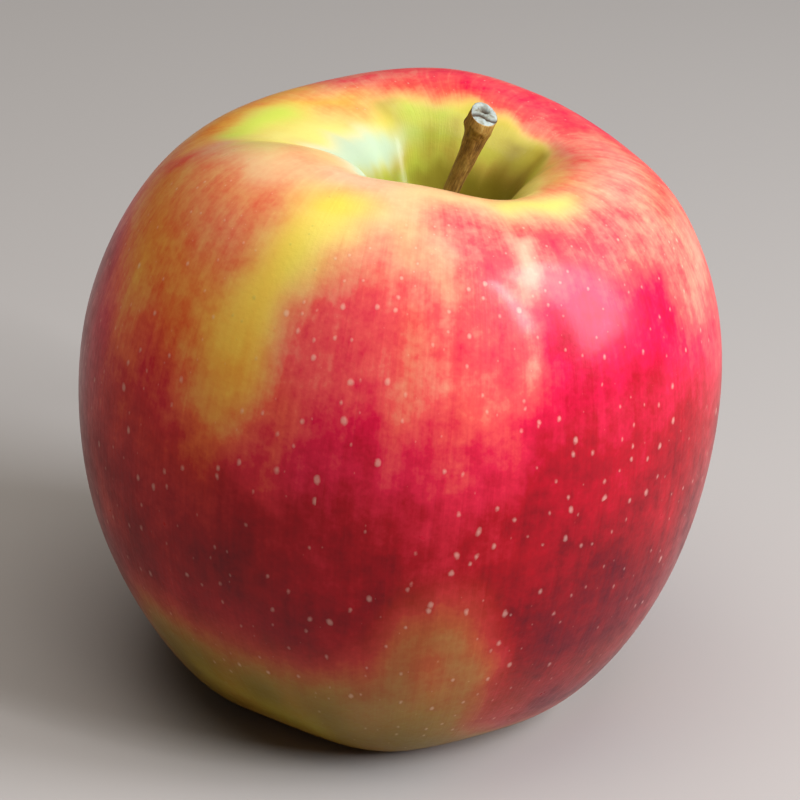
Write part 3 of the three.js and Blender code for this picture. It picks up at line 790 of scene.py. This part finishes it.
def bark_material():
    material, tree, shader = new_material("stem_bark", 0.75)
    place = add(tree, "TexCoord", {}).outputs["Object"]
    around = add(tree, "Attribute", {}, attribute_name="round_axis").outputs["Vector"]
    grooves = noise(tree, stretched(tree, around, (7, 7, 0.8)), detail=3, roughness=0.6)
    flecks = noise(tree, place, 1500, detail=3, roughness=0.6)
    blotches = noise(tree, place, 380, detail=2)
    tone = total(tree, [(grooves, 1.0), (flecks, 0.3), (blotches, 0.6), (field(tree, "ridge"), 0.3)], 0.5)
    bark = ramp(tree, tone, (
        (0.15, (0.09, 0.036, 0.006)),
        (0.45, (0.24, 0.11, 0.018)),
        (0.7, (0.36, 0.19, 0.035)),
        (0.95, (0.50, 0.32, 0.10)),
    ))
    low_down = total(tree, [(blotches, 2.0), (field(tree, "up"), -0.9)], 0.75)
    green = calc(tree, "MULTIPLY", low_down, 0.5, clamp=True)
    bark = blend_colour(tree, green, bark, (0.16, 0.13, 0.022, 1))
    wood = ramp(tree, total(tree, [(flecks, 1.6), (blotches, 1.4)], 0.5), (
        (0.1, (0.16, 0.13, 0.08)),
        (0.4, (0.30, 0.31, 0.25)),
        (0.7, (0.37, 0.42, 0.39)),
        (0.95, (0.50, 0.47, 0.28)),
    ))
    colour = blend_colour(tree, field(tree, "scar"), bark, wood)
    colour = blend_colour(tree, field(tree, "crack"), colour, (0.055, 0.032, 0.015, 1))
    put(tree, shader.inputs["Base Color"], colour)
    put(tree, shader.inputs["Roughness"], total(tree, [(flecks, 0.3), (grooves, 0.2)], 0.68))
    shader.inputs["IOR"].default_value = 1.3
    bump(tree, shader, total(tree, [(grooves, 1.0), (flecks, 0.6)]), 0.12, 0.8)
    return material


def make_cup(shift):
    outline_of_cup = np.array(CUP_OUTLINE)
    steps = np.linspace(0, len(outline_of_cup) - 1, 60)[1:-1]
    radius = np.interp(steps, np.arange(len(outline_of_cup)), outline_of_cup[:, 0])
    height = np.interp(steps, np.arange(len(outline_of_cup)), outline_of_cup[:, 1])
    angle = np.linspace(0, 2 * np.pi, CUP_AROUND, endpoint=False)
    r, a = np.meshgrid(radius, angle, indexing="ij")
    share = np.repeat(np.linspace(0, 1, len(radius))[:, None], CUP_AROUND, 1)
    r = r * (1 + 0.03 * ripple(a, share, 15, 12, 51))
    z = np.repeat(height[:, None], CUP_AROUND, 1) + 0.10 * ripple(a, share, 21, 12, 52) * (share < 0.6)
    points = np.stack([r * np.cos(a) + FOOT_SHIFT, r * np.sin(a), z], -1) + shift
    centre = np.array([FOOT_SHIFT, 0, 0]) + shift
    low, high = centre + (0, 0, outline_of_cup[0, 1]), centre + (0, 0, outline_of_cup[-1, 1])
    obj = closed_sweep("calyx_cup", points, low, high)
    set_values(obj.data, "tip", np.zeros(len(obj.data.vertices)))
    return obj


def joined(name, parts):
    """One mesh object from several sweeps, each given as rings, two end points and shares of its length."""
    vertices, faces, tips = [], [], []
    for rings, first, last, tip in parts:
        rows, columns = rings.shape[:2]
        start = len(vertices)
        vertices += [*rings.reshape(-1, 3), first, last]
        tips += [*np.repeat(tip, columns), tip[0], tip[-1]]
        faces += [tuple(start + f) for f in grid_faces(rows, columns)]
        base = start + (rows - 1) * columns
        ends = start + rows * columns
        faces += [(ends, start + i, start + (i + 1) % columns) for i in range(columns)]
        faces += [(ends + 1, base + (i + 1) % columns, base + i) for i in range(columns)]
    obj = mesh_object(name, np.array(vertices) * MM, faces)
    set_values(obj.data, "tip", np.array(tips))
    return obj


def make_sepals(shift):
    parts = []
    for index in range(SEPALS):
        uneven = math.sin(2.4 * index + 0.7)
        points = [
            (0, 2.1, CUP_RIM + 1),
            (0, 2.6, CUP_RIM - 1.1),
            (0, 2.3, CUP_RIM - 2.7),
            (0, 3.1, CUP_RIM - 4),
            (0, SEPAL_SPREAD + 0.5 * uneven, SEPAL_TIP_HEIGHT - 0.3 * uneven),
        ]
        at, towards, _ = path_along(points)
        where = np.linspace(0, 1, 46)[1:-1]
        angle = np.linspace(0, 2 * np.pi, SEPAL_AROUND, endpoint=False)
        w, a = np.meshgrid(where, angle, indexing="ij")
        width = SEPAL_WIDTH * np.sin(np.pi * w**0.6) * 0.5 + 0.12
        width = width * (1 + 0.10 * ripple(a, w, 8, 12, 60 + index))
        tangent = towards(w)
        side, front = frame_on(tangent)
        half = np.cos(a)
        deep = SEPAL_THICKNESS / 2 * (0.75 + 0.25 * (1 - half**2)) * np.sin(a)
        cup = 0.45 * width * (half**2 - 0.4) * smooth(w * 3)
        veins = 0.05 * np.cos(9 * half + 1.3 * index) * np.sign(np.sin(a)) * np.abs(np.sin(a))
        crumple = 0.12 * ripple(a, w, 9, 9, 70 + index)
        rings = at(w) + side * (width * half)[..., None] + front * (deep - cup + veins + crumple)[..., None]
        turn = math.radians(360 * index / SEPALS + 12 * uneven)
        cosine, sine = math.cos(turn), math.sin(turn)
        spin = np.array([[cosine, sine, 0], [-sine, cosine, 0], [0, 0, 1]])
        first, last = at(np.array([0.0]))[0], at(np.array([1.0]))[0]
        placed = [p @ spin + (FOOT_SHIFT, 0, 0) + shift for p in (rings, first, last)]
        parts.append((*placed, where))
    return joined("calyx_sepals", parts)


def make_stamens(shift):
    parts = []
    for index in range(STAMENS):
        angle = 2 * np.pi * index / STAMENS
        length = CUP_RIM + 1 - STAMEN_TIP - 0.6 * (index % 3)
        lean = 0.25 * math.sin(3.1 * index + 1)
        where = np.linspace(0, 1, 26)[1:-1]
        w, a = np.meshgrid(where, np.linspace(0, 2 * np.pi, 14, endpoint=False), indexing="ij")
        thick = STAMEN_RADIUS * np.where(w < 0.8, 1 - 0.75 * w, 0.4 + 0.35 * np.sin(np.pi * (w - 0.8) / 0.2))
        thick = thick * (1 + 0.15 * ripple(a, w, 5, 8, 80 + index))
        base = np.array([0.9 * math.cos(angle) + FOOT_SHIFT, 0.9 * math.sin(angle), CUP_RIM + 1])
        middle = base + np.stack([lean * w**2, 0.5 * lean * w**2, -length * w], -1)
        rings = middle + np.stack([thick * np.cos(a), -thick * np.sin(a), 0 * w], -1) + shift
        tip = base + (lean, 0.5 * lean, -length) + shift
        parts.append((rings, base + shift, tip, where))
    return joined("calyx_stamens", parts)


def make_calyx(shift):
    for piece in (make_cup(shift), make_sepals(shift), make_stamens(shift)):
        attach(piece, "root")
        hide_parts("calyx")
        piece.data.materials.append(sepal_material(piece.name))


def sepal_material(name):
    material, tree, shader = new_material(name, 0.9)
    place = add(tree, "TexCoord", {}).outputs["Object"]
    blotches = noise(tree, place, 700, detail=3, roughness=0.6)
    fuzz = noise(tree, place, 4200, detail=2)
    tone = total(tree, [(blotches, 1.3), (fuzz, 0.9), (field(tree, "tip"), -0.25)], 0.55)
    colour = ramp(tree, tone, (
        (0.1, (0.030, 0.020, 0.010)),
        (0.45, (0.105, 0.078, 0.036)),
        (0.75, (0.20, 0.17, 0.085)),
        (1.0, (0.36, 0.34, 0.22)),
    ))
    put(tree, shader.inputs["Base Color"], colour)
    put(tree, shader.inputs["Roughness"], total(tree, [(fuzz, 0.2)], 0.88))
    bump(tree, shader, total(tree, [(blotches, 1.0), (fuzz, 0.8)]), 0.15, 0.9)
    return material


# Camera, floor and lights

def make_camera(shift):
    elevation = math.radians(CAMERA_ELEVATION)
    middle = Vector((shift[0], shift[1], APPLE_MIDDLE_HEIGHT - REST_HEIGHT))
    back = Vector((0, -math.cos(elevation), math.sin(elevation)))
    data = bpy.data.cameras.new("camera")
    camera = bpy.data.objects.new("camera", data)
    bpy.context.scene.collection.objects.link(camera)
    data.sensor_width = SENSOR_WIDTH
    data.lens = SENSOR_WIDTH * PIXELS_PER_MM * CAMERA_DISTANCE / PICTURE
    data.clip_start = 0.02
    data.clip_end = 20
    level = (-back).to_track_quat("-Z", "Y").to_matrix()
    turned = level @ Matrix.Rotation(math.radians(CAMERA_ROLL), 3, "Z")
    aim_x = (PICTURE / 2 - APPLE_MIDDLE_PIXEL[0]) / (PIXELS_PER_MM * CAMERA_DISTANCE)
    aim_y = (PICTURE / 2 - APPLE_MIDDLE_PIXEL[1]) / (PIXELS_PER_MM * CAMERA_DISTANCE)
    turned = turned @ Matrix.Rotation(-aim_x, 3, "Y") @ Matrix.Rotation(-aim_y, 3, "X")
    camera.matrix_world = Matrix.Translation((middle + back * CAMERA_DISTANCE) * MM) @ turned.to_4x4()
    bpy.context.scene.camera = camera


def make_floor():
    size = 3.0
    mesh = bpy.data.meshes.new("floor")
    corners = [(-size, -size, 0), (size, -size, 0), (size, size, 0), (-size, size, 0)]
    mesh.from_pydata(corners, [], [(0, 1, 2, 3)])
    floor = bpy.data.objects.new("floor", mesh)
    bpy.context.scene.collection.objects.link(floor)
    material = bpy.data.materials.new("floor")
    material.use_nodes = True
    shader = material.node_tree.nodes["Principled BSDF"]
    shader.inputs["Base Color"].default_value = (0.42, 0.385, 0.35, 1)
    shader.inputs["Roughness"].default_value = 0.8
    mesh.materials.append(material)


def area_light(name, place, size, power, color):
    data = bpy.data.lights.new(name, "AREA")
    data.shape = "RECTANGLE"
    data.size, data.size_y = size
    data.energy = power
    data.color = color
    light = bpy.data.objects.new(name, data)
    light.location = place
    light.rotation_mode = "QUATERNION"
    light.rotation_quaternion = (Vector(LIGHT_AIM) - Vector(place)).to_track_quat("-Z", "Y")
    bpy.context.scene.collection.objects.link(light)


def make_lights():
    world = bpy.data.worlds.new("world")
    world.use_nodes = True
    background = world.node_tree.nodes["Background"]
    background.inputs["Color"].default_value = (1.0, 0.96, 0.92, 1)
    background.inputs["Strength"].default_value = 0.045
    bpy.context.scene.world = world
    for name, light in LIGHTS.items():
        area_light(name, *light)


fruit, SHIFT = make_fruit()
fruit.data.materials.append(skin_material())
stem = make_stem(SHIFT)
stem.data.materials.append(bark_material())
make_calyx(SHIFT)
make_camera(SHIFT)
make_floor()
make_lights()
bpy.context.scene.view_settings.view_transform = "Standard"
